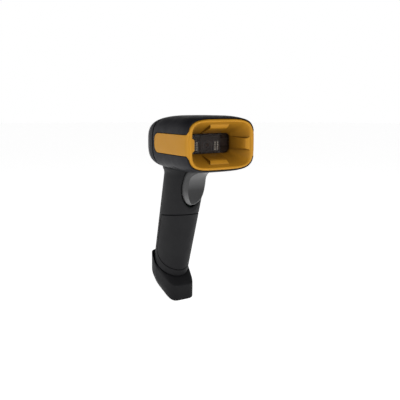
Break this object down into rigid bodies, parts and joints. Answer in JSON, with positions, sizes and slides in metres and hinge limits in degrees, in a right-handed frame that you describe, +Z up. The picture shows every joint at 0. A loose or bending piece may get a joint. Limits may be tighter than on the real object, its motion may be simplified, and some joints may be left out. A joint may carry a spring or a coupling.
{
  "type": "handheld barcode scanner",
  "caption": "Cordless pistol-grip barcode scanner with a flared window nose, a sprung trigger, a removable battery door and a spurred charging foot.",
  "frame": {"origin": "flat middle of the foot's underside, where the scanner sits on its charging base", "axes": "+Z up, -Y the way the scanner looks, +X to the right seen from in front"},
  "size_m": [0.0642, 0.1044, 0.1666],
  "materials": {
    "black_plastic": "fine moulded texture, satin",
    "grip_black": "fine matt texture",
    "inner_black": "plain moulded",
    "yellow_plastic": "smooth satin amber yellow",
    "trigger_grey": "satin grey",
    "plunger_grey": "plain moulded",
    "seal_rubber": "matt",
    "window_glass": "polished, faintly smoked",
    "clear_lens": "polished",
    "light_pipe": "frosted clear",
    "circuit_board": "green solder mask",
    "steel": "plated",
    "gold_contact": "gold plated",
    "flex_amber": "polyimide film",
    "cell_wrap": "shrink wrap"
  },
  "bodies": {
    "body": {"head_housing": "black_plastic", "rear_cap": "black_plastic", "status_light": "light_pipe", "bezel": "yellow_plastic", "window_seal": "seal_rubber", "window": "window_glass", "engine_chassis": "inner_black", "lens_barrel": "inner_black", "lens_glass": "clear_lens", "sensor_board": "circuit_board", "engine_flex": "flex_amber", "main_board": "circuit_board", "shield_can": "steel", "beeper": "inner_black", "led_lens_left": "clear_lens", "led_lens_right": "clear_lens", "engine_screw_left": "steel", "engine_screw_right": "steel", "door_seal_left": "seal_rubber", "door_seal_right": "seal_rubber", "battery_contact_left": "gold_contact", "battery_contact_right": "gold_contact", "foot_screw_left": "steel", "foot_screw_right": "steel", "cap_screw_1": "steel", "cap_screw_2": "steel", "cap_screw_3": "steel", "cap_screw_4": "steel", "grip_body": "grip_black", "grip_board": "circuit_board", "grip_flex": "flex_amber", "battery_pack": "cell_wrap", "trigger_pin": "steel", "trigger_spring": "steel", "trigger_switch": "inner_black", "foot": "grip_black", "charge_board": "circuit_board", "charge_contact_1": "gold_contact", "charge_contact_2": "gold_contact", "charge_contact_3": "gold_contact", "charge_contact_4": "gold_contact"},
    "trigger": {"trigger": "trigger_grey"},
    "switch_plunger": {"switch_plunger": "plunger_grey"},
    "battery_door": {"battery_door": "grip_black"},
    "door_screw": {"door_screw": "steel"}
  },
  "joints": [
    {"name": "trigger_press", "type": "hinge", "parent": "body", "child": "trigger", "pos_m": [0, -0.03145, 0.11346], "axis": [1, 0, 0], "range_deg": [0, 6], "stiffness_Nm_per_rad": 0.3, "springref_deg": -6.88, "deforming": ["trigger_spring"]},
    {"name": "switch_press", "type": "slide", "parent": "body", "child": "switch_plunger", "axis": [0, 0.9563, 0.2924], "range_m": [0, 0.0009]},
    {"name": "door_release", "type": "slide", "parent": "body", "child": "battery_door", "axis": [0, -0.9563, -0.2924], "range_m": [0, 0.045]},
    {"name": "door_screw_turn", "type": "hinge", "parent": "body", "child": "door_screw", "pos_m": [0, 0.00295, 0.01669], "axis": [0, -0.2924, 0.9563], "continuous": true}
  ],
  "couplings": [
    {"joint": "switch_press", "follows": "trigger_press", "m_per_rad": 0.0076}
  ]
}
